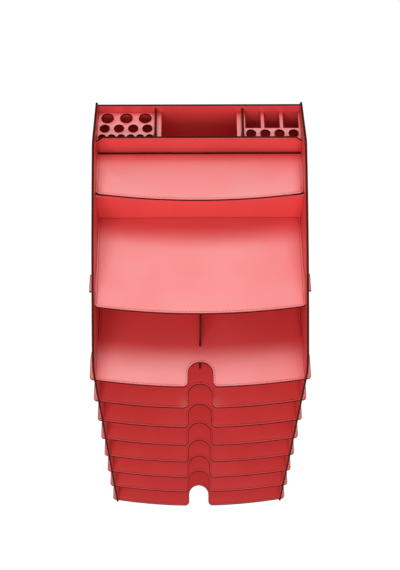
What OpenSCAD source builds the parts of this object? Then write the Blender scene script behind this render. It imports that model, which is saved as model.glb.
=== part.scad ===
// Document tray tower: thin faced boards that slot together.
// Two side panels and a back panel carry eight bow-fronted trays, a stepped head with
// two shelves, and a holder box with drilled plates. +Z is up and the front faces -Y.

/* [Board] */
// Thickness of every board
board_t = 3; // [2:0.1:4]
// Play all round a board in the slot or mortise that holds it
fit = 0.15; // [0.05:0.05:0.3]
// Play between a sliding tray and the boards beside and above it
tray_play = 0.3; // [0.1:0.1:0.8]

/* [Tower] */
// Clear width between the side panels
bay_w = 243; // [230:1:280]
// Clear depth from the side panels' front edges to the back panel
bay_d = 300; // [290:1:340]
// How far the side panels reach behind the back panel
back_lip = 5; // [3:0.5:12]
// Height of the lowest tray above the surface that the tower stands on
foot_gap = 4.5; // [2:0.5:20]
// Radius of the bowed front edges of trays and shelves
bow_r = 781.5; // [500:0.5:1200]

/* [Side panels] */
// How far the foot of the slope lies below the main shelf
slope_drop = 30.5; // [15:0.5:35]
// How far the slope bows out from a straight line
slope_bow = 7.5; // [2:0.5:15]
// Height of the peak above the top of the main shelf
peak_rise = 89; // [84:0.5:120]
// Distance of the peak behind the front edge
peak_y = 233; // [205:1:240]
// How far the back corner lies below the peak
back_drop = 19.5; // [5:0.1:25]
// Radius at the foot of the slope
slope_r = 30; // [5:1:45]
// Radius at the peak
peak_r = 20; // [5:1:40]
// Radius at the top back corner
back_r = 4; // [1:0.5:10]
// Radius at the two bottom corners
foot_r = 2; // [0.5:0.5:3.5]

/* [Trays] */
// How far the middle of a tray's front stands before the side panels' front edges
tray_proud = 8.6; // [4:0.1:16]
// Distance from one tray to the next
tray_pitch = 61; // [45:1:90]
// Clear height between the top tray and the main shelf
top_bay_h = 59; // [50:1:90]
// How far the ears stand out past the side panels
ear_proud = 5.1; // [3:0.1:12]
// Depth at which the ears start to taper
ear_l = 28; // [15:1:60]
// Radius of the ears' tapered back ends
ear_r = 60; // [40:1:80]
// Radius of the ears' front corners
ear_corner_r = 4.5; // [2:0.5:8]
// Width of the thumb notch
notch_w = 29; // [20:1:40]
// Depth of the thumb notch
notch_l = 32; // [24:1:50]
// Radius of the lip corners beside the thumb notch
notch_lip_r = 6.5; // [2:0.5:8]

/* [Shelves and step] */
// Distance from the side panels' front edges to the middle of the main shelf's front
main_y = 55; // [52:0.1:70]
// Radius of the shelves' front corners
shelf_r = 5; // [2:0.5:12]
// Distance from the side panels' front edges to the main shelf's side tabs
main_tab_y = 84.5; // [75:0.5:140]
// Length of the main shelf's side tabs
main_tab_l = 23; // [12:0.5:40]
// How far the main shelf's side tabs stand out past the side panels
main_tab_proud = 4.1; // [0:0.1:10]
// Height of the riser between the two shelves
riser_h = 45.5; // [35:0.5:50]
// Depth of the step, from the riser's face to the holder box
step_l = 63.8; // [45:0.1:90]
// How far the upper shelf hangs over the riser
upper_overhang = 7.4; // [0:0.1:20]
// Gap between the upper shelf's back edge and the holder box
shelf_gap = 5; // [1:0.1:10]

/* [Holder box] */
// Clear depth of the holder box
holder_d = 47; // [45:0.5:60]
// Height of the box's front above the upper shelf
front_rise = 24.5; // [15:0.1:34]
// Width and height of the cut across each of the front's top corners
front_cut = 7.7; // [2:0.1:15]
// Clear width of the open well in the middle
well_w = 101; // [70:1:108]
// Height of the plates' tops above the main shelf
plate_h = 59.5; // [45:0.5:64]
// How far the plates reach into the well
plate_reach = 5.5; // [3:0.5:15]
// Length of the lap joint between a plate and its divider
lap_l = 14; // [8:0.5:20]
// Height of the dividers above the plates
divider_rise = 7; // [4:0.5:12]
// Height of the back panel above the plates
back_rise = 11; // [4:0.5:12]
// Diameter of the plain holes
hole_d = 12; // [8:0.5:13]
// Diameter of the thin holes
thin_d = 9.5; // [6:0.5:10]
// Diameter of the wide holes
wide_d = 15; // [10:0.5:16]
// Width of the slots
slot_w = 18; // [10:0.5:19]
// Length of the slots, from the back panel
slot_l = 24.5; // [15:0.5:25.5]
// Distance from the back panel to the right plate's holes
right_hole_y = 33; // [32:0.5:40]
// Distance from the back panel to the thin holes
thin_y = 38.5; // [37:0.5:41]
// Distance from the back panel to the left plate's plain holes
left_hole_y = 25; // [24:0.5:27]
// Distance from the back panel to the wide holes
wide_y = 9.5; // [8.5:0.5:10]

/* [Centre divider] */
// Distance from the side panels' front edges to the divider's front edge
centre_y = 44; // [30:1:80]
// Length of the divider's slot over the top tray
centre_lap = 124; // [80:1:160]

/* [Tabs] */
// Length of the flush tabs
tab_l = 24; // [12:1:32]
// Distance of the rear tabs from the middle
rear_tab_x = 76; // [70:1:95]

/* [Hidden] */
$fn = 96;
// Facets of the large front bow
bow_fn = 1440;
// How far a cut runs past a face
over = 1;
// How far an arc stands past the edge that it blends into, so that the two cross cleanly
blend = 0.003;
// Least width of board between two thin, plain or wide holes of a row
thin_web = 1.2;
hole_web = 3.5;
wide_web = 5;
tray_n = 8;
board_red = [0.84, 0.24, 0.24];
tray_red = [0.88, 0.33, 0.33];
sides = [-1, 1];

half_in = bay_w / 2;
half_out = half_in + board_t;
side_d = bay_d + board_t + back_lip;
lip_x = notch_w / 2 + notch_lip_r;
lip_y = bow_arc_y(-tray_proud, lip_x, notch_lip_r);
mid_y = (side_d + lip_y - notch_lip_r) / 2;

// Heights of the boards' undersides and tops
main_z = tray_z(1) + board_t + top_bay_h;
floor_z = main_z + board_t;
upper_z = floor_z + riser_h;
plate_z = floor_z + plate_h - board_t;
back_h = floor_z + plate_h + back_rise;
front_h = riser_h + board_t + front_rise;
divider_h = plate_h + divider_rise;
peak_z = floor_z + peak_rise;

// Distances of the boards' front faces behind the side panels' front edges
holder_y = bay_d - holder_d;
front_y = holder_y - board_t;
riser_y = front_y - step_l;
lap_y = holder_y + lap_l;

// Tray ears and the slots that take them
ear_half = half_out + ear_proud;
ear_x = ear_half - ear_r;
tray_half = half_in - tray_play;
slot_y = ear_l + sqrt(ear_r * ear_r - pow(half_in - ear_x, 2)) + fit;

// Widths of the holder box
divider_x = (well_w + board_t) / 2;
divider_out = divider_x + board_t / 2;
plate_in = well_w / 2 - plate_reach;
plate_span = half_in - divider_out;
plate_mid = (half_in + divider_out) / 2;

// How many holes fit in a row across a plate
thin_n = floor(plate_span / (thin_d + thin_web));
hole_n = floor(plate_span / (hole_d + hole_web));
wide_n = floor(plate_span / (wide_d + wide_web));

// Middles of the flush tabs
step_tab_y = (riser_y + board_t + front_y) / 2;
holder_tab_y = (holder_y + bay_d) / 2;
riser_tab_z = floor_z + riser_h / 2;
divider_tab_z = floor_z + (plate_h - board_t) / 2;
centre_tab_z = [(tray_z(1) + board_t + main_z) / 2, bay_mid(2)];
back_tab_z = concat([for (i = [2 : 2 : tray_n]) bay_mid(i)], [divider_tab_z]);

// Underside of tray i, counted from the top
function tray_z(i) = foot_gap + (tray_n - i) * tray_pitch;

// Middle of the clear height above tray i
function bay_mid(i) = tray_z(i) + (board_t + tray_pitch) / 2;

// Unit vector from a to b
function heading(a, b) = (b - a) / norm(b - a);

// Vector v turned a quarter to the left
function left_of(v) = [-v.y, v.x];

// Middle of the arc of radius r that rounds corner b, on a way that turns left from a to c
function arc_middle(a, b, c, r) =
    let (u = heading(a, b), v = heading(b, c))
    b + r * (left_of(u) + left_of(v)) / (1 + u * v);

// Y of the middle of an arc of radius r inside the bow at x, for a bow with its middle at y
function bow_arc_y(y, x, r) = y + bow_r - sqrt(pow(bow_r - r + blend, 2) - x * x);

// X where that arc meets the bow
function bow_meet_x(x, r) = x * bow_r / (bow_r - r);

// Rectangle with its middle at x
module centred(x, y, w, l) {
    translate([x - w / 2, y])
        square([w, l]);
}

// Mortise for a board end of w by l with its middle at x
module mortise(x, y, w, l) {
    centred(x, y - fit, w + 2 * fit, l + 2 * fit);
}

// Mortise with its middle at y, for an end that stands upright
module upright_mortise(x, y, w, l) {
    mortise(x + w / 2, y - l / 2, w, l);
}

// Sheet of half-width w from a bowed front edge, with its middle at y, back to y_back
module bowed_sheet(w, y, y_back, r) {
    corner_x = w - r;
    corner_y = bow_arc_y(y, corner_x, r);
    intersection() {
        translate([0, y + bow_r])
            circle(bow_r, $fn = bow_fn);
        centred(0, y - over, 2 * bow_meet_x(corner_x, r), corner_y - y + 2 * over);
    }
    centred(0, corner_y, 2 * w, y_back - corner_y);
    for (s = sides)
        translate([s * corner_x, corner_y])
            circle(r);
}

// Thumb notch with rounded lips in the bowed edge of a tray
module thumb_notch() {
    notch_r = notch_w / 2;
    mouth_y = -tray_proud - over;
    round_y = notch_l - tray_proud - notch_r;
    translate([0, round_y])
        circle(notch_r);
    centred(0, mouth_y, notch_w, round_y - mouth_y);
    difference() {
        centred(0, mouth_y, 2 * bow_meet_x(lip_x, notch_lip_r), lip_y - mouth_y);
        for (s = sides)
            translate([s * lip_x, lip_y])
                circle(notch_lip_r);
    }
}

// Board lying flat with its underside at z
module flat_board(z) {
    translate([0, -mid_y, z])
        linear_extrude(board_t)
            children();
}

// Board standing across the tower with its front face at y
module cross_board(y) {
    translate([0, y + board_t - mid_y, 0])
        rotate([90, 0, 0])
            linear_extrude(board_t)
                children();
}

// Board standing front to back with its left face at x
module upright_board(x) {
    translate([x, -mid_y, 0])
        rotate([90, 0, 90])
            linear_extrude(board_t)
                children();
}

// Blank side panel: rounded at its five corners, with the slope bowed out
module side_blank() {
    slope_foot = [0, main_z - slope_drop];
    peak = [peak_y, peak_z];
    back_top = [side_d, peak_z - back_drop];
    half_slope = norm(peak - slope_foot) / 2;
    slope_bow_r = (half_slope * half_slope + slope_bow * slope_bow) / (2 * slope_bow);
    bow_m = (slope_foot + peak) / 2
        - (slope_bow_r - slope_bow) * left_of(heading(slope_foot, peak));

    // The arcs at the slope's two ends lie inside its bow, each beside one straight edge
    foot_in = slope_bow_r - slope_r + blend;
    foot_m = [slope_r, bow_m.y + sqrt(foot_in * foot_in - pow(slope_r - bow_m.x, 2))];
    peak_in = slope_bow_r - peak_r + blend;
    fall = heading(peak, back_top);
    up = left_of(fall);
    start = peak - peak_r * up - bow_m;
    along = start * fall;
    peak_m = bow_m + start
        - fall * (along + sqrt(along * along - start * start + peak_in * peak_in));
    back_m = arc_middle([side_d, 0], back_top, peak, back_r);

    polygon([[foot_r, 0], [side_d - foot_r, 0], [side_d - foot_r, foot_r], [side_d, foot_r],
             [side_d, back_m.y], back_m, back_m + (back_r - blend) * up,
             peak_m + (peak_r - blend) * up, peak_m, foot_m,
             [0, foot_m.y], [0, foot_r], [foot_r, foot_r]]);
    for (arc = [[[foot_r, foot_r], foot_r], [[side_d - foot_r, foot_r], foot_r],
                [back_m, back_r], [peak_m, peak_r], [foot_m, slope_r]])
        translate(arc[0])
            circle(arc[1]);
    reach = slope_bow_r + 2 * slope_bow;
    intersection() {
        translate(bow_m)
            circle(slope_bow_r, $fn = bow_fn);
        polygon([foot_m, peak_m,
                 bow_m + reach * heading(bow_m, peak_m), bow_m + reach * heading(bow_m, foot_m)]);
    }
}

// Side panel's face: open slots for the trays, mortises for the rest
module side_outline() {
    difference() {
        side_blank();
        for (i = [1 : tray_n])
            translate([-over, tray_z(i) - fit])
                square([slot_y + over, board_t + 2 * fit]);
        mortise(main_tab_y + main_tab_l / 2, main_z, main_tab_l, board_t);
        mortise(holder_tab_y, main_z, tab_l, board_t);
        mortise(step_tab_y, upper_z, tab_l, board_t);
        mortise(holder_tab_y, plate_z, tab_l, board_t);
        for (y = [riser_y, front_y])
            upright_mortise(y, riser_tab_z, board_t, tab_l);
        for (z = back_tab_z)
            upright_mortise(bay_d, z, board_t, tab_l);
    }
}

module left_side_panel() {
    color(board_red)
        upright_board(-half_out)
            side_outline();
}

module right_side_panel() {
    color(board_red)
        upright_board(half_in)
            side_outline();
}

// Pair of flush side tabs, l high, with their middles at z
module side_tabs(z, l) {
    for (s = sides)
        centred(s * (half_in + half_out) / 2, z - l / 2, board_t, l);
}

// Pair of rear tabs from y through the board behind it
module rear_tabs(y, l) {
    for (s = sides)
        centred(s * rear_tab_x, y, tab_l, l);
}

module back_panel() {
    color(board_red)
        cross_board(bay_d)
            difference() {
                union() {
                    centred(0, 0, bay_w, back_h);
                    for (z = back_tab_z)
                        side_tabs(z, tab_l);
                }
                for (s = sides) {
                    for (i = [1 : tray_n])
                        mortise(s * rear_tab_x, tray_z(i), tab_l, board_t);
                    mortise(s * rear_tab_x, main_z, tab_l, board_t);
                    mortise(s * divider_x, divider_tab_z - tab_l / 2, board_t, tab_l);
                }
                for (z = centre_tab_z)
                    mortise(0, z - tab_l / 2, board_t, tab_l);
            }
}

// Tray: bowed front with a thumb notch, ears for the side slots, tabs for the back panel
module tray(i) {
    tail_y = bay_d - fit;
    color(tray_red)
        flat_board(tray_z(i))
            difference() {
                union() {
                    bowed_sheet(ear_half, -tray_proud, ear_l, ear_corner_r);
                    for (s = sides)
                        intersection() {
                            translate([s * ear_x, ear_l])
                                circle(ear_r);
                            centred(s * ear_x, ear_l - over, 2 * ear_r, ear_r + over);
                        }
                    centred(0, ear_l - over, 2 * tray_half, tail_y - ear_l + over);
                    rear_tabs(tail_y - over, board_t + fit + over);
                }
                thumb_notch();
                if (i == 1)
                    centre_slot(tail_y);
            }
}

// Slot in the top tray, open at the back, that straddles the centre divider
module centre_slot(tail_y) {
    slot_front = centre_y + centre_lap - fit;
    centred(0, slot_front, board_t + 2 * fit, tail_y - slot_front + over);
}

module main_shelf() {
    color(tray_red)
        flat_board(main_z) {
            bowed_sheet(half_in, main_y, bay_d, shelf_r);
            centred(0, main_tab_y, 2 * (half_out + main_tab_proud), main_tab_l);
            centred(0, holder_tab_y - tab_l / 2, 2 * half_out, tab_l);
            rear_tabs(bay_d, board_t);
        }
}

module upper_shelf() {
    color(tray_red)
        flat_board(upper_z) {
            bowed_sheet(half_in, riser_y - upper_overhang, front_y - shelf_gap, shelf_r);
            centred(0, step_tab_y - tab_l / 2, 2 * half_out, tab_l);
        }
}

module riser_panel() {
    color(board_red)
        cross_board(riser_y) {
            centred(0, floor_z, bay_w, riser_h);
            side_tabs(riser_tab_z, tab_l);
        }
}

// Front of the holder box, with its top corners cut off
module pen_box_front() {
    top_z = floor_z + front_h;
    cut_z = top_z - front_cut;
    color(board_red)
        cross_board(front_y)
            difference() {
                union() {
                    polygon([[-half_in, floor_z], [half_in, floor_z],
                             [half_in, cut_z], [half_in - front_cut, top_z],
                             [front_cut - half_in, top_z], [-half_in, cut_z]]);
                    side_tabs(riser_tab_z, tab_l);
                }
                for (s = sides)
                    mortise(s * divider_x, riser_tab_z - tab_l / 2, board_t, tab_l);
            }
}

// Divider of the holder box with its middle at x, slotted from the back for its plate
module pen_divider(x) {
    color(board_red)
        upright_board(x - board_t / 2)
            difference() {
                union() {
                    translate([holder_y, floor_z])
                        square([holder_d, divider_h]);
                    translate([front_y, riser_tab_z - tab_l / 2])
                        square([board_t + fit, tab_l]);
                    translate([bay_d - fit, divider_tab_z - tab_l / 2])
                        square([board_t + fit, tab_l]);
                }
                translate([lap_y, plate_z - fit])
                    square([bay_d - lap_y + over, board_t + 2 * fit]);
            }
}

module left_pen_divider() {
    pen_divider(-divider_x);
}

module right_pen_divider() {
    pen_divider(divider_x);
}

// Blank plate on side s: lapped over its divider, with a flush tab in the side panel
module plate_blank(s) {
    plate_w = half_in - plate_in;
    difference() {
        union() {
            centred(s * (plate_in + half_in) / 2, holder_y, plate_w, holder_d);
            centred(s * (half_in + half_out) / 2, holder_tab_y - tab_l / 2, board_t, tab_l);
        }
        centred(s * divider_x, holder_y - over, board_t + 2 * fit, lap_l + fit + over);
    }
}

// Row of n round holes spread over the plate on side s, at distance y from the back panel
module hole_row(s, n, y, d) {
    pitch = plate_span / n;
    for (k = [0 : n - 1])
        translate([s * plate_mid + (k - (n - 1) / 2) * pitch, bay_d - y])
            circle(d = d);
}

module left_pen_plate() {
    color(tray_red)
        flat_board(plate_z)
            difference() {
                plate_blank(-1);
                hole_row(-1, thin_n, thin_y, thin_d);
                hole_row(-1, hole_n, left_hole_y, hole_d);
                hole_row(-1, wide_n, wide_y, wide_d);
            }
}

module right_pen_plate() {
    pitch = plate_span / wide_n;
    color(tray_red)
        flat_board(plate_z)
            difference() {
                plate_blank(1);
                hole_row(1, hole_n, right_hole_y, hole_d);
                for (k = [0 : wide_n - 1])
                    centred(plate_mid + (k - (wide_n - 1) / 2) * pitch, bay_d - slot_l,
                            slot_w, slot_l + over);
            }
}

// Centre divider of the two top bays, slotted from the front over the top tray
module centre_divider() {
    foot_z = tray_z(2) + board_t + tray_play;
    color(board_red)
        upright_board(-board_t / 2)
            difference() {
                union() {
                    translate([centre_y, foot_z])
                        square([bay_d - centre_y, main_z - foot_z]);
                    for (z = centre_tab_z)
                        translate([bay_d - fit, z - tab_l / 2])
                            square([board_t + fit, tab_l]);
                }
                translate([centre_y - over, tray_z(1) - fit])
                    square([centre_lap + over, board_t + 2 * fit]);
            }
}

left_side_panel();
right_side_panel();
back_panel();
main_shelf();
upper_shelf();
riser_panel();
pen_box_front();
left_pen_divider();
right_pen_divider();
left_pen_plate();
right_pen_plate();
centre_divider();
for (i = [1 : tray_n])
    tray(i);
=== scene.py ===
import bpy
import math
import numpy as np
from mathutils import Matrix, Vector


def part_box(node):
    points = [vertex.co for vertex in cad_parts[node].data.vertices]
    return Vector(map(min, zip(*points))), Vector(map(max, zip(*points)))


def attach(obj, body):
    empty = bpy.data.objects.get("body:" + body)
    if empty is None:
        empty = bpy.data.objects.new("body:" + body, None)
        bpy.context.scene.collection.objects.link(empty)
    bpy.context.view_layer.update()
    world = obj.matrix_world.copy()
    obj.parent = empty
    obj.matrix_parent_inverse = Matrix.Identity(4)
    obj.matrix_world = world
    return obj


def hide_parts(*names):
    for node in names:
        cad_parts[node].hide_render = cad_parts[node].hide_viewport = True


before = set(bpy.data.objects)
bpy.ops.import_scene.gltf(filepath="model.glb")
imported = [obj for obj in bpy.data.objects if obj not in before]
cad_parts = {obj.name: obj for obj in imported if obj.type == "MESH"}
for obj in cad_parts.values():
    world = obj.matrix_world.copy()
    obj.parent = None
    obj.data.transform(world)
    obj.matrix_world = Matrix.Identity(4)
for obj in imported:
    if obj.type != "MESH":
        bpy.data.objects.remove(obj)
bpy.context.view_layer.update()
mm = 0.001
print("frame loaded:", len(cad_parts), "boards")


# Materials

def startMaterial(name):
    material = bpy.data.materials.new(name)
    material.use_nodes = True
    return material, material.node_tree, material.node_tree.nodes["Principled BSDF"]


def addNode(tree, kind, inputs=None, **settings):
    node = tree.nodes.new(kind)
    for key, value in settings.items():
        setattr(node, key, value)
    for key, value in (inputs or {}).items():
        if isinstance(value, bpy.types.NodeSocket):
            tree.links.new(value, node.inputs[key])
        else:
            node.inputs[key].default_value = value
    return node


def mixColours(tree, share, first, second, how="MIX"):
    mixer = addNode(tree, "ShaderNodeMix", data_type="RGBA", blend_type=how)
    sockets = (mixer.inputs[0], mixer.inputs[6], mixer.inputs[7])  # the share and two colours
    for socket, value in zip(sockets, (share, first, second)):
        if isinstance(value, bpy.types.NodeSocket):
            tree.links.new(value, socket)
        else:
            socket.default_value = value
    return mixer.outputs[2]


def rangeOf(tree, value, low, high, start=0.0, end=1.0):
    ranged = addNode(tree, "ShaderNodeMapRange", {
        "Value": value, "From Min": start, "From Max": end, "To Min": low, "To Max": high})
    return ranged.outputs["Result"]


faceFinish = {
    "side_board": dict(red=(0.79, 0.062, 0.061, 1), deep=(0.69, 0.050, 0.049, 1), ior=2.2),
    "tray_board": dict(red=(0.81, 0.066, 0.065, 1), deep=(0.71, 0.054, 0.053, 1), ior=2.2),
    "grainScale": 820, "grainSmooth": 0.5, "grainHeight": 0.12 * mm, "grainStrength": 0.35,
    "creaseScale": 2300, "creaseDetail": 2.0, "creaseShare": 0.35,
    "cloudScale": 11, "cloudDetail": 4.0, "cloudRough": 0.55, "cloudDeep": 0.3, "cloudRed": 0.7,
    "valleyStart": 0.25, "valleyEnd": 0.8, "valleyShare": 0.35,
    "roughStart": 0.35, "roughEnd": 0.65, "roughLow": 0.37, "roughHigh": 0.45,
    "worn": (0.50, 0.030, 0.028, 1),
}


def leatherette(slot):
    # Grain height is the distance to the nearest cell's middle, which makes pebbles with valleys
    # between them, plus fine creases. A slow cloud shifts the red, and the valleys are deeper red
    look = faceFinish
    material, tree, shader = startMaterial(slot + "_leatherette")
    place = addNode(tree, "ShaderNodeTexCoord").outputs["Object"]
    pebbles = addNode(tree, "ShaderNodeTexVoronoi", {
        "Vector": place, "Scale": look["grainScale"], "Smoothness": look["grainSmooth"]},
        feature="SMOOTH_F1")
    creases = addNode(tree, "ShaderNodeTexNoise", {
        "Vector": place, "Scale": look["creaseScale"], "Detail": look["creaseDetail"]})
    cloud = addNode(tree, "ShaderNodeTexNoise", {
        "Vector": place, "Scale": look["cloudScale"], "Detail": look["cloudDetail"],
        "Roughness": look["cloudRough"]})
    nearEdge = addNode(tree, "ShaderNodeAttribute", attribute_name="edgeNear").outputs["Fac"]
    tone = rangeOf(tree, cloud.outputs["Fac"], 0.0, 1.0, look["cloudDeep"], look["cloudRed"])
    red = mixColours(tree, tone, look[slot]["deep"], look[slot]["red"])
    valley = rangeOf(tree, pebbles.outputs["Distance"], 0.0, look["valleyShare"],
                     look["valleyStart"], look["valleyEnd"])
    red = mixColours(tree, valley, red, look[slot]["deep"])
    wear = addNode(tree, "ShaderNodeMath", {0: nearEdge, 1: cloud.outputs["Fac"]},
                   operation="MULTIPLY")
    red = mixColours(tree, wear.outputs[0], red, look["worn"])
    rough = rangeOf(tree, cloud.outputs["Fac"], look["roughLow"], look["roughHigh"],
                    look["roughStart"], look["roughEnd"])
    height = addNode(tree, "ShaderNodeMath", {
        0: creases.outputs["Fac"], 1: look["creaseShare"], 2: pebbles.outputs["Distance"]},
        operation="MULTIPLY_ADD")
    bump = addNode(tree, "ShaderNodeBump", {
        "Strength": look["grainStrength"], "Distance": look["grainHeight"],
        "Height": height.outputs[0]}, invert=True)
    tree.links.new(red, shader.inputs["Base Color"])
    tree.links.new(rough, shader.inputs["Roughness"])
    tree.links.new(bump.outputs["Normal"], shader.inputs["Normal"])
    shader.inputs["IOR"].default_value = look[slot]["ior"]
    return material


edgeFinish = dict(dark=(0.040, 0.007, 0.005, 1), fibre=(0.085, 0.015, 0.010, 1), fibreScale=700.0,
                  fibreDetail=3.0, fibreHeight=0.15 * mm, fibreStrength=0.3, layerCount=5.0,
                  roughness=0.8, gloss=0.04)


def fibreEdge():
    # Pressed fibre: the depth across the board, stirred by fine noise, runs through dark and
    # lighter layers
    look = edgeFinish
    material, tree, shader = startMaterial("board_edge")
    place = addNode(tree, "ShaderNodeTexCoord").outputs["Object"]
    fibres = addNode(tree, "ShaderNodeTexNoise", {
        "Vector": place, "Scale": look["fibreScale"], "Detail": look["fibreDetail"]})
    depth = addNode(tree, "ShaderNodeAttribute", attribute_name="rimDepth").outputs["Fac"]
    layers = addNode(tree, "ShaderNodeMath", {
        0: depth, 1: look["layerCount"], 2: fibres.outputs["Fac"]}, operation="MULTIPLY_ADD")
    bands = addNode(tree, "ShaderNodeMath", {0: layers.outputs[0], 1: 1.0}, operation="PINGPONG")
    brown = mixColours(tree, bands.outputs[0], look["dark"], look["fibre"])
    bump = addNode(tree, "ShaderNodeBump", {
        "Strength": look["fibreStrength"], "Distance": look["fibreHeight"],
        "Height": fibres.outputs["Fac"]})
    tree.links.new(brown, shader.inputs["Base Color"])
    tree.links.new(bump.outputs["Normal"], shader.inputs["Normal"])
    shader.inputs["Roughness"].default_value = look["roughness"]
    shader.inputs["Specular IOR Level"].default_value = look["gloss"]
    return material


threadFinish = dict(light=(0.40, 0.026, 0.025, 1), dark=(0.25, 0.015, 0.014, 1), plies=3.0,
                    shadeStart=0.05, shadeEnd=0.45, plyHeight=0.1 * mm, plyStrength=0.5,
                    roughness=0.75)


def threadPly():
    # Twisted thread: slanting bands on the stitch's own map, where u runs along and v round it
    look = threadFinish
    material, tree, shader = startMaterial("stitching_thread")
    spot = addNode(tree, "ShaderNodeTexCoord").outputs["UV"]
    axes = addNode(tree, "ShaderNodeSeparateXYZ", {"Vector": spot})
    turn = addNode(tree, "ShaderNodeMath", {
        0: axes.outputs["X"], 1: look["plies"], 2: axes.outputs["Y"]}, operation="MULTIPLY_ADD")
    ply = addNode(tree, "ShaderNodeMath", {0: turn.outputs[0], 1: 0.5}, operation="PINGPONG")
    shade = rangeOf(tree, ply.outputs[0], 0.0, 1.0, look["shadeStart"], look["shadeEnd"])
    colour = mixColours(tree, shade, look["dark"], look["light"])
    bump = addNode(tree, "ShaderNodeBump", {
        "Strength": look["plyStrength"], "Distance": look["plyHeight"], "Height": ply.outputs[0]})
    tree.links.new(colour, shader.inputs["Base Color"])
    tree.links.new(bump.outputs["Normal"], shader.inputs["Normal"])
    shader.inputs["Roughness"].default_value = look["roughness"]
    return material


faces = {slot: leatherette(slot) for slot in ("side_board", "tray_board")}
edges = fibreEdge()
thread = threadPly()
print("materials made:", len(bpy.data.materials))


# Outlines read from the frame

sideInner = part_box("right_side_panel")[0].x
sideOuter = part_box("right_side_panel")[1].x
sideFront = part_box("right_side_panel")[0].y
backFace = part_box("back_panel")[0].y
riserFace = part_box("riser_panel")[0].y
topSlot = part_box("tray_1")[1].z
weldDigits = 6  # corners that agree to a micrometre are one


def mergedMesh(node):
    # The solid's loose triangles, with corners that share a place made one
    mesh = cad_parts[node].data
    mesh.calc_loop_triangles()
    corners = np.empty(len(mesh.vertices) * 3)
    mesh.vertices.foreach_get("co", corners)
    triangles = np.empty(len(mesh.loop_triangles) * 3, dtype=int)
    mesh.loop_triangles.foreach_get("vertices", triangles)
    corners = np.round(corners.reshape(-1, 3), weldDigits)
    places, index = np.unique(corners, axis=0, return_inverse=True)
    return places, np.ravel(index)[triangles].reshape(-1, 3)


def readOutline(node):
    # A board's upper flat face has all its corners on its edge loops. A cap edge that no second
    # triangle shares is an edge of the board, and it leads from its corner to the next one
    places, triangles = mergedMesh(node)
    thin = int(np.argmin(np.ptp(places, axis=0)))
    axes = ((1, 2, 0), (2, 0, 1), (0, 1, 2))[thin]
    height = places[:, thin]
    cap = triangles[(height[triangles] == height.max()).all(axis=1)]
    used, cap = np.unique(cap, return_inverse=True)
    cap = np.ravel(cap).reshape(-1, 3)
    start, end = cap.ravel(), np.roll(cap, -1, axis=1).ravel()
    single = ~np.isin(start * len(used) + end, end * len(used) + start)
    after = np.empty(len(used), dtype=int)
    after[start[single]] = end[single]
    before = np.empty_like(after)
    before[after] = np.arange(len(used))
    plan = places[used][:, axes[:2]]
    return dict(plan=plan, after=after, before=before, cap=cap, axes=axes,
                outer=outerLoop(plan[:, 0], after), low=height.min(), high=height.max())


def outerLoop(reach, after):
    # Corners of the loop through the lowest point, in order. Steps left to that point double with
    # each pass: a corner's steps become its own plus those of the corner that it has reached
    number = np.arange(len(after))
    first = int(np.argmin(reach))
    steps = np.where(number == first, 0, 1)
    reached = np.where(number == first, first, after)
    for doubling in range(len(after).bit_length()):
        steps = steps + steps[reached]
        reached = reached[reached]
    loop = np.flatnonzero(reached == first)
    return loop[np.argsort(-steps[loop])]


def mitres(before, here, after):
    # Mitre of two edges with unit outward normals n and m: (n + m) / (1 + n . m)
    def outward(step):
        step = step / np.linalg.norm(step, axis=1, keepdims=True)
        return np.stack((step[:, 1], -step[:, 0]), axis=1)
    first, second = outward(here - before), outward(after - here)
    return (first + second) / (1 + (first * second).sum(axis=1, keepdims=True))


def toSpace(axes, plan, height):
    # Plan coordinates and height, put on the board's own axes
    spot = np.empty(np.broadcast(plan[..., 0], height).shape + (3,))
    spot[..., axes[0]] = plan[..., 0]
    spot[..., axes[1]] = plan[..., 1]
    spot[..., axes[2]] = height
    return spot


def newPiece(name, body, points, polygons, materials):
    mesh = bpy.data.meshes.new(name)
    mesh.from_pydata(points.reshape(-1, 3).tolist(), [], polygons)
    for material in materials:
        mesh.materials.append(material)
    piece = bpy.data.objects.new(name, mesh)
    bpy.context.scene.collection.objects.link(piece)
    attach(piece, body)
    return piece


def bodyOf(node):
    return node if node.startswith("tray_") else "frame"


def slotOf(node):
    return "side_board" if node.endswith(("side_panel", "back_panel")) else "tray_board"


# Boards

boardShape = dict(roll=1.6 * mm, nose=0.75 * mm, steps=6, facedSteps=3, creaseAngle=35)
rollShare = dict(pen_divider=0.75, pen_plate=0.5)
heldEdge = dict(share=0.3, near=1 * mm, foot=3 * mm, slack=0.1 * mm)
turnedOver = ("riser_panel",)


def edgeShare(node, outline):
    # Share of the roll at each corner: least in holes, and where another board holds the edge
    plan, axes = outline["plan"], outline["axes"]
    near = heldEdge["near"]
    share = np.full(len(plan), heldEdge["share"])
    ownShare = [value for ending, value in rollShare.items() if node.endswith(ending)]
    share[outline["outer"]] = ownShare[0] if ownShare else 1.0
    if node.endswith("side_panel"):
        held = ((plan[:, 0] > sideFront + near) & (plan[:, 0] < backFace)
                & (plan[:, 1] > heldEdge["foot"]) & (plan[:, 1] < topSlot + near))
    elif axes[2] == 0:
        held = plan[:, 1] < plan[:, 1].min() + near
    else:
        side = np.abs(plan[:, axes.index(0)])
        held = (side > sideInner - near) & (side < sideOuter + heldEdge["slack"])
        if axes[2] == 1:
            held |= plan[:, 0] < plan[:, 0].min() + near
        else:
            held |= plan[:, 1] > backFace - near
    share[held] = heldEdge["share"]
    return share


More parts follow.
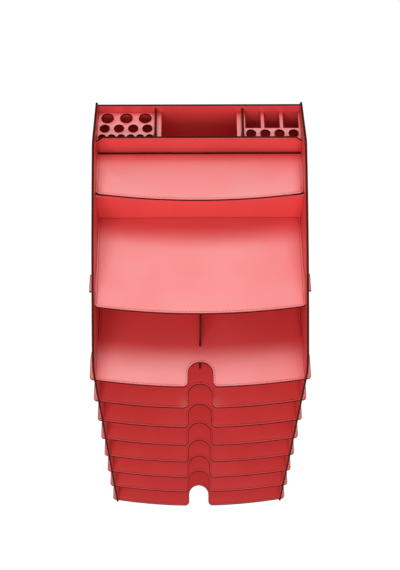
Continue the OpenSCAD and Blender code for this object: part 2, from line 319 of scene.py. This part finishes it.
def makeBoard(node):
    # The rim is one profile carried round every edge loop: a quarter ellipse from the upper face,
    # inset = roll (1 - sin a) and drop = nose (1 - cos a), then the same turned over at the lower
    # face. The flat faces close on the profile's two ends. The rim is bare fibre, but the riser's
    # facing is turned over its top edge
    shape = boardShape
    outline = readOutline(node)
    plan, after = outline["plan"], outline["after"]
    angle = np.linspace(0, math.pi / 2, shape["steps"] + 1)
    inset = shape["roll"] * (1 - np.sin(angle))
    drop = shape["nose"] * (1 - np.cos(angle))
    thickness = outline["high"] - outline["low"]
    inset = np.concatenate((inset, inset[::-1]))
    depth = np.concatenate((drop, thickness - drop[::-1]))
    share = edgeShare(node, outline)
    mitre = mitres(plan[outline["before"]], plan, plan[after])
    ringPlan = plan[:, None] - mitre[:, None] * (share[:, None] * inset)[..., None]
    ringHeight = np.broadcast_to(outline["high"] - depth, ringPlan.shape[:2])
    points = toSpace(outline["axes"], ringPlan, ringHeight)
    rings = len(inset)
    corner = np.arange(len(plan))[:, None] * rings + np.arange(rings - 1)
    ahead = after[:, None] * rings + np.arange(rings - 1)
    rim = np.stack((corner, corner + 1, ahead + 1, ahead), axis=-1).reshape(-1, 4)
    upper = outline["cap"] * rings
    lower = outline["cap"][:, ::-1] * rings + rings - 1
    piece = newPiece(node + "_board", bodyOf(node), points,
                     rim.tolist() + upper.tolist() + lower.tolist(), (faces[slotOf(node)], edges))
    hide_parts(node)
    strip = np.tile(np.arange(rings - 1), len(plan))
    isEdge = (strip >= shape["facedSteps"]) & (strip < rings - 1 - shape["facedSteps"])
    if node in turnedOver:
        onTop = plan[:, 0] > plan[:, 0].max() - heldEdge["near"]
        isEdge &= ~np.repeat(onTop & onTop[after], rings - 1)
    finish = np.concatenate((isEdge, np.zeros(len(upper) + len(lower), dtype=bool)))
    piece.data.polygons.foreach_set("material_index", finish.astype(int))
    piece.data.polygons.foreach_set("use_smooth", np.ones(len(finish), dtype=bool))
    piece.data.set_sharp_from_angle(angle=math.radians(shape["creaseAngle"]))
    for name, value in (("edgeNear", 1 - inset / shape["roll"]), ("rimDepth", depth / thickness)):
        layer = piece.data.attributes.new(name, "FLOAT", "POINT")
        layer.data.foreach_set("value", np.tile(value, len(plan)))
    return outline


outlines = {node: makeBoard(node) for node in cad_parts}
print("boards made:", len(outlines))


# Stitching

stitching = dict(inset=2.5 * mm, pitch=3.5 * mm, length=2.1 * mm, width=1.0 * mm, height=0.5 * mm,
                 sunk=0.06 * mm, rings=4, sides=6, lastRing=0.86, leastStep=0.01 * mm,
                 clearInside=1 * mm, clearOutside=0.8 * mm)
stitched = [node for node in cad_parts
            if node.startswith("tray_") or node.endswith(("shelf", "box_front"))]


def unitStitch():
    # Closed pod: at u along it, from -1 to 1, its ring's radius is sqrt(1 - u^4); a pole ends it
    u = np.linspace(-stitching["lastRing"], stitching["lastRing"], stitching["rings"])
    v = np.arange(stitching["sides"]) * 2 * math.pi / stitching["sides"]
    radius = np.sqrt(1 - u ** 4)
    across, off = radius[:, None] * np.cos(v), radius[:, None] * np.sin(v)
    ring = np.stack(np.broadcast_arrays(u[:, None], across, off), -1)
    points = np.concatenate((ring.reshape(-1, 3), ((-1, 0, 0), (1, 0, 0))))
    number = np.arange(len(u) * len(v)).reshape(len(u), len(v))
    beside = np.roll(number, -1, axis=1)
    quads = np.stack((number[:-1], beside[:-1], beside[1:], number[1:]), -1)
    quads = quads[..., ::-1].reshape(-1, 4)
    startPole, endPole = len(points) - 2, len(points) - 1
    startFan = np.stack((beside[0], number[0], np.full(len(v), startPole)), -1)[:, ::-1]
    endFan = np.stack((number[-1], beside[-1], np.full(len(v), endPole)), -1)[:, ::-1]
    return points, quads, np.concatenate((startFan, endFan))


def stitchLine(node, outline):
    # The board's outer edge without its tabs, moved in by the margin. The main shelf's line meets
    # the riser's foot
    plan = outline["plan"][outline["outer"]]
    if outline["axes"][2] == 1:
        plan = np.stack((plan[:, 0], np.clip(plan[:, 1], -sideInner, sideInner)), axis=1)
    else:
        reach = np.inf if node.startswith("tray_") else sideInner
        back = backFace
        if node == "main_shelf":
            back = riserFace + stitching["inset"] - stitching["width"] / 2
        plan = np.stack((np.clip(plan[:, 0], -reach, reach), np.minimum(plan[:, 1], back)), axis=1)
    step = np.linalg.norm(np.roll(plan, -1, axis=0) - plan, axis=1)
    plan = plan[step > stitching["leastStep"]]
    mitre = mitres(np.roll(plan, 1, axis=0), plan, np.roll(plan, -1, axis=0))
    return plan - mitre * stitching["inset"]


def spacedAlong(line):
    # Evenly spaced middles and directions along a closed line, read off its running length
    closed = np.concatenate((line, line[:1]))
    run = np.concatenate(((0,), np.cumsum(np.linalg.norm(np.diff(closed, axis=0), axis=1))))
    count = int(round(run[-1] / stitching["pitch"]))
    middle = (np.arange(count) + 0.5) * run[-1] / count

    def at(length):
        length = length % run[-1]
        return np.stack([np.interp(length, run, closed[:, axis]) for axis in (0, 1)], axis=1)
    half = stitching["length"] / 2
    along = at(middle + half) - at(middle - half)
    return at(middle), along / np.linalg.norm(along, axis=1, keepdims=True)


def clearOfSlots(node, spots):
    # Which stitches lie clear of the side panels, where a tray's ears pass through them
    side = np.abs(spots[:, 0])
    clear = ((side < sideInner - stitching["clearInside"])
             | (side > sideOuter + stitching["clearOutside"]))
    return clear if node.startswith("tray_") else np.ones(len(spots), dtype=bool)


def makeStitching(node):
    # One pod for each stitch and face, its axes along the line, across it and off the face
    outline = outlines[node]
    spots, along = spacedAlong(stitchLine(node, outline))
    clear = clearOfSlots(node, spots)
    spots, along = spots[clear], along[clear]
    across = np.stack((-along[:, 1], along[:, 0]), axis=1)
    pod, quads, fans = unitStitch()
    size = np.array((stitching["length"], stitching["width"], stitching["height"])) / 2
    plan = (spots[:, None] + along[:, None] * (pod[:, :1] * size[0])
            + across[:, None] * (pod[:, 1:2] * size[1]))
    rise = pod[:, 2] * size[2] - stitching["sunk"]
    upper = toSpace(outline["axes"], plan, np.broadcast_to(outline["high"] + rise, plan.shape[:2]))
    lower = toSpace(outline["axes"], plan, np.broadcast_to(outline["low"] - rise, plan.shape[:2]))
    first = np.arange(len(spots))[:, None, None] * len(pod)
    second = first + len(spots) * len(pod)
    polygons = []
    for shape in (quads, fans):
        polygons += (shape + first).reshape(-1, shape.shape[1]).tolist()
        polygons += (shape[:, ::-1] + second).reshape(-1, shape.shape[1]).tolist()
    piece = newPiece(node + "_stitching", bodyOf(node),
                     np.concatenate((upper, lower)), polygons, (thread,))
    turn = np.arctan2(pod[:, 2], pod[:, 1]) / (2 * math.pi)
    podMap = np.stack((pod[:, 0] * 0.5 + 0.5, turn + 0.5), axis=1)
    corner = np.empty(len(piece.data.loops), dtype=int)
    piece.data.loops.foreach_get("vertex_index", corner)
    layer = piece.data.uv_layers.new(name="stitchMap")
    layer.data.foreach_set("uv", podMap[corner % len(pod)].ravel())
    piece.data.polygons.foreach_set("use_smooth", np.ones(len(piece.data.polygons), dtype=bool))
    return len(spots) * 2


print("stitches made:", sum(makeStitching(node) for node in stitched))


# Stage

floorLook = dict(reach=6.0, colour=(0.93, 0.93, 0.93, 1), shadowShare=(0.16, 0.16, 0.16, 1),
                 white=(1, 1, 1, 1), glow=0.92)


def makeFloor():
    # Flat square at the height on which the tower stands. In view it is a glow plus a matt share
    # that holds the shadow, and the two come to white in the open
    side = floorLook["reach"]
    mesh = bpy.data.meshes.new("studio_floor")
    corners = [(-side, -side, 0), (side, -side, 0), (side, side, 0), (-side, side, 0)]
    mesh.from_pydata(corners, [], [(0, 1, 2, 3)])
    floor = bpy.data.objects.new("studio_floor", mesh)
    bpy.context.scene.collection.objects.link(floor)
    material, tree, shader = startMaterial("studio_floor")
    tree.nodes.remove(shader)
    matt = addNode(tree, "ShaderNodeBsdfDiffuse", {"Color": floorLook["colour"]})
    shadow = addNode(tree, "ShaderNodeBsdfDiffuse", {"Color": floorLook["shadowShare"]})
    glow = addNode(tree, "ShaderNodeEmission", {
        "Color": floorLook["white"], "Strength": floorLook["glow"]})
    white = addNode(tree, "ShaderNodeAddShader", {0: shadow.outputs[0], 1: glow.outputs[0]})
    both = addNode(tree, "ShaderNodeMixShader", {
        0: seenRays(tree), 1: matt.outputs[0], 2: white.outputs[0]})
    tree.links.new(both.outputs[0], tree.nodes["Material Output"].inputs["Surface"])
    mesh.materials.append(material)


def seenRays(tree):
    # 1 for a ray from the camera, a reflection or a see-through surface, else 0
    rays = addNode(tree, "ShaderNodeLightPath").outputs
    seen = addNode(tree, "ShaderNodeMath", {
        0: rays["Is Camera Ray"], 1: rays["Is Glossy Ray"]}, operation="MAXIMUM")
    both = addNode(tree, "ShaderNodeMath", {
        0: seen.outputs[0], 1: rays["Is Transmission Ray"]}, operation="MAXIMUM")
    return both.outputs[0]


skyLook = dict(colour=(1, 1, 1, 1), inView=1.0, level=0.34, backdrop=1.0, room=0.35,
               turnStart=-0.1, turnEnd=0.65)


def makeSky():
    # Matt surfaces get an even light. Gloss mirrors a white backdrop behind the tower, towards +Y,
    # that fades to a dimmer room overhead and in front
    world = bpy.data.worlds.new("studio_sky")
    world.use_nodes = True
    tree = world.node_tree
    ground = tree.nodes["Background"]
    ground.inputs["Color"].default_value = skyLook["colour"]
    rays = addNode(tree, "ShaderNodeLightPath").outputs
    heading = addNode(tree, "ShaderNodeTexCoord").outputs["Generated"]
    way = addNode(tree, "ShaderNodeSeparateXYZ", {"Vector": heading})
    mirrored = rangeOf(tree, way.outputs["Y"], skyLook["room"], skyLook["backdrop"],
                       skyLook["turnStart"], skyLook["turnEnd"])
    unseen = rangeOf(tree, rays["Is Glossy Ray"], skyLook["level"], mirrored)
    seen = addNode(tree, "ShaderNodeMath", {
        0: rays["Is Camera Ray"], 1: rays["Is Transmission Ray"]}, operation="MAXIMUM")
    strength = rangeOf(tree, seen.outputs[0], unseen, skyLook["inView"])
    tree.links.new(strength, ground.inputs["Strength"])
    bpy.context.scene.world = world


softboxes = {
    "back_softbox": dict(place=(0.0, 0.8, 2.45), aim=(0.0, 0.0, 0.45), size=(1.6, 1.2),
                         power=15.5, mirrored=True),
    "front_softbox": dict(place=(-0.3, -2.3, 1.75), aim=(0.0, 0.0, 0.3), size=(1.8, 1.4),
                          power=54, mirrored=False),
}


def makeSoftbox(name, look):
    # Sizes and places in metres, power in watts
    lamp = bpy.data.lights.new(name, "AREA")
    lamp.shape = "RECTANGLE"
    lamp.size, lamp.size_y = look["size"]
    lamp.energy = look["power"]
    box = bpy.data.objects.new(name, lamp)
    box.location = look["place"]
    aim = Vector(look["aim"]) - Vector(look["place"])
    box.rotation_euler = aim.to_track_quat("-Z", "Y").to_euler()
    box.visible_glossy = look["mirrored"]
    bpy.context.scene.collection.objects.link(box)


makeFloor()
makeSky()
for name, look in softboxes.items():
    makeSoftbox(name, look)
print("stage set:", len(softboxes), "softboxes")


# Camera

cameraView = dict(place=(-0.0115, -0.6803, 1.5759), tilt=30.0, pan=-1.04, roll=0.65,
                  focalPixels=1073.9, imageHeight=570, sensor=36.0)


def makeCamera():
    # Angles in degrees. Focal length in mm = focal length in pixels * sensor / picture's long side
    look = cameraView
    data = bpy.data.cameras.new("studio_camera")
    data.sensor_width = look["sensor"]
    data.lens = look["focalPixels"] * look["sensor"] / look["imageHeight"]
    camera = bpy.data.objects.new("studio_camera", data)
    camera.matrix_world = (Matrix.Translation(look["place"])
                           @ Matrix.Rotation(math.radians(look["pan"]), 4, "Z")
                           @ Matrix.Rotation(math.radians(look["tilt"]), 4, "X")
                           @ Matrix.Rotation(math.radians(look["roll"]), 4, "Z"))
    bpy.context.scene.collection.objects.link(camera)
    bpy.context.scene.camera = camera


makeCamera()
bpy.context.scene.view_settings.view_transform = "Standard"
print("camera set")
